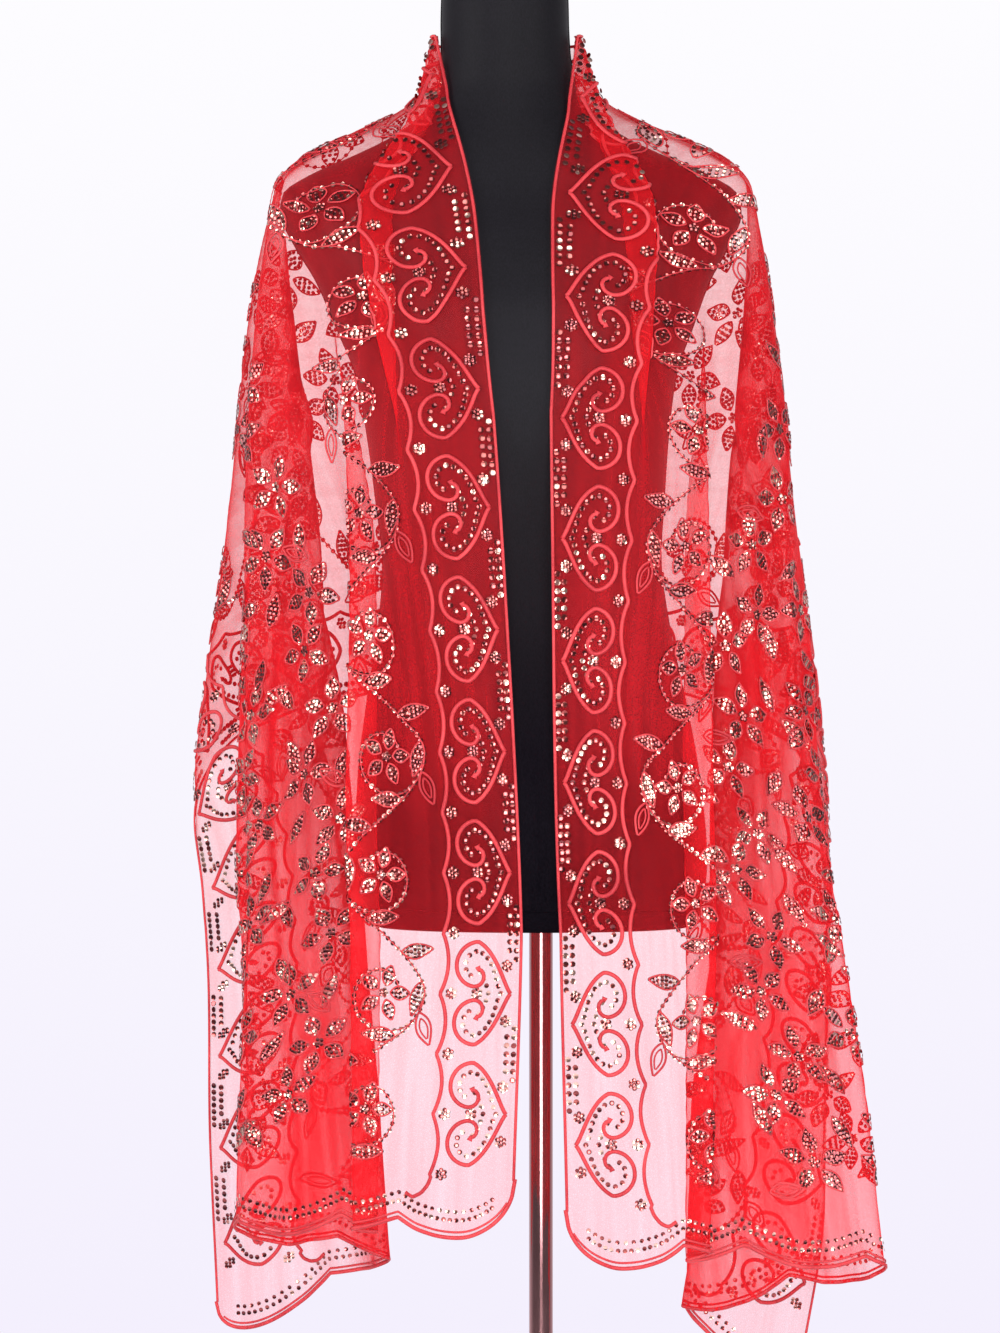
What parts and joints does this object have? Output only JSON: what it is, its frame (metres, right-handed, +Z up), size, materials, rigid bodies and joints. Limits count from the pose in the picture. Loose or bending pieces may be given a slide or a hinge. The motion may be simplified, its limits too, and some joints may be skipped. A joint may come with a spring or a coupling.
{
  "type": "evening stole draped on a dress form",
  "caption": "Sheer net evening stole with corded scalloped ends, hung round the neck of a limbless dress form on a pole and round base, both ends down the front.",
  "frame": {"origin": "centre of the round base's underside, on the floor", "axes": "+Z up along the pole, -Y towards the front of the form, +X to the viewer's right when the front is faced"},
  "size_m": [0.5541, 0.3, 1.57],
  "materials": {
    "red_net": "sheer soft net",
    "satin_cord": "satin corded binding",
    "sequins": "glossy",
    "form_cover": "matt black stretch cover",
    "chrome": "polished"
  },
  "bodies": {
    "root": {"net_back": "red_net", "net_shoulder_left": "red_net", "net_shoulder_right": "red_net", "net_front_left": "red_net", "net_front_right": "red_net", "edge_cord_neck": "satin_cord", "edge_cord_lower": "satin_cord", "hem_cord_left": "satin_cord", "hem_cord_right": "satin_cord", "form_torso": "form_cover", "stand_base": "chrome", "stand_pole": "chrome"}
  },
  "joints": []
}
